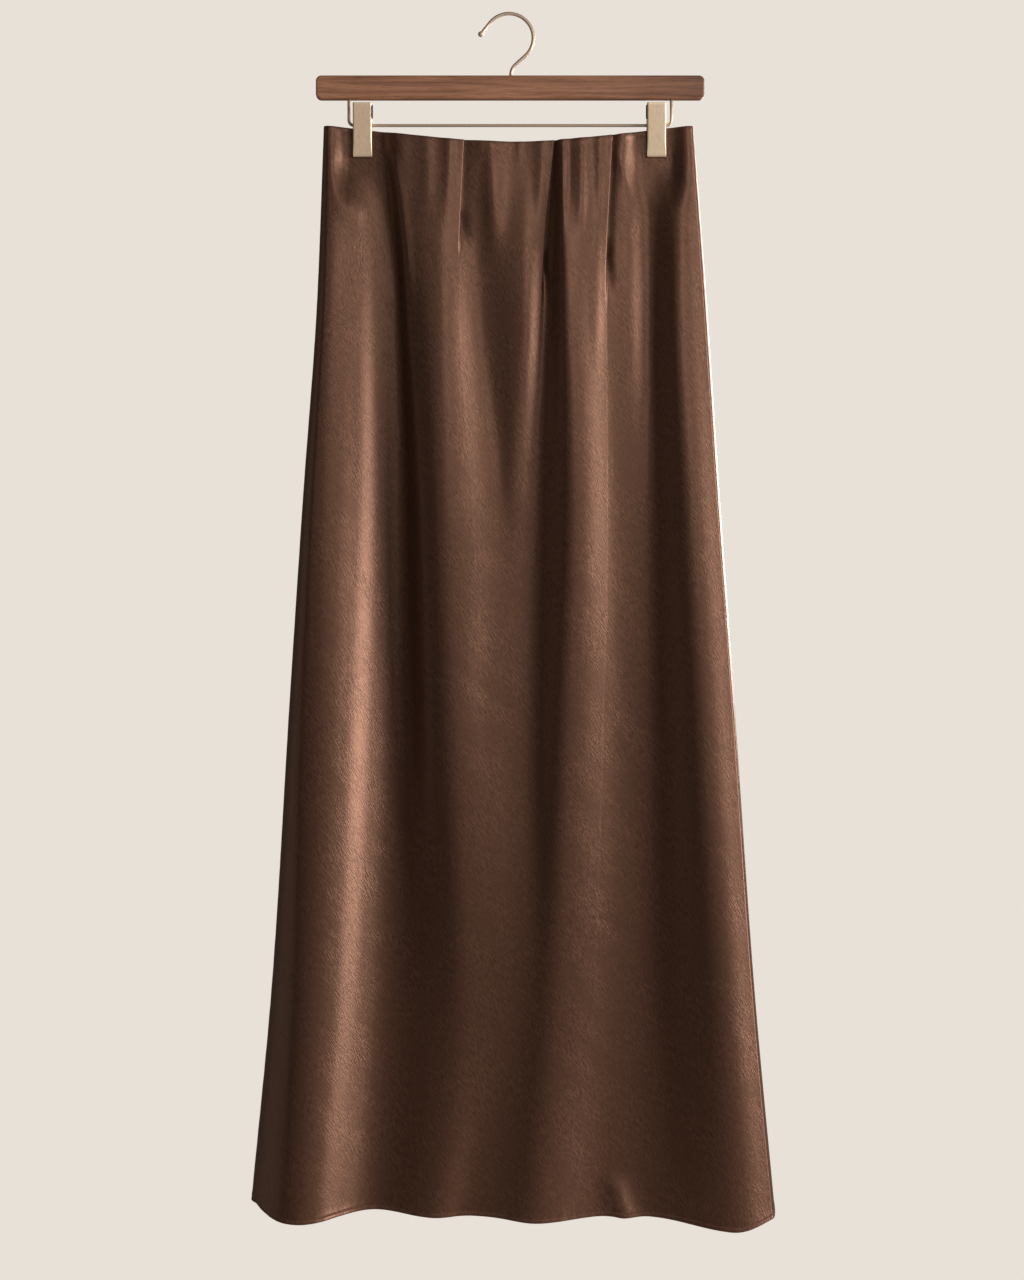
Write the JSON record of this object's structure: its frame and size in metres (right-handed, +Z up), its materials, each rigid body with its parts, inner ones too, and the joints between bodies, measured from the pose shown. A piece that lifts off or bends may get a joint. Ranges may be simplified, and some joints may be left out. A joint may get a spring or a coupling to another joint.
{
  "type": "satin maxi skirt on wooden clip hanger",
  "caption": "Long flared satin skirt with knife tucks at the front waist, hung by its waist from a wooden hanger with metal clips.",
  "frame": {"origin": "underside of the hook's crest, where a rod carries the hanger", "axes": "+Z up, +X along the bar to the right seen from the front, +Y to the back; the front of the skirt faces -Y"},
  "size_m": [0.482, 0.124, 1.1012],
  "materials": {
    "satin": "brown satin with a soft sheen",
    "walnut": "matt stained walnut",
    "metal": "satin champagne plating on steel"
  },
  "bodies": {
    "root": {"skirt_front": "satin", "skirt_back": "satin", "hanger_bar": "walnut", "hanger_hook": "metal", "hanger_rail": "metal", "clip_left_front": "metal", "clip_left_back": "metal", "clip_left_spring": "metal", "clip_right_front": "metal", "clip_right_back": "metal", "clip_right_spring": "metal"}
  },
  "joints": []
}
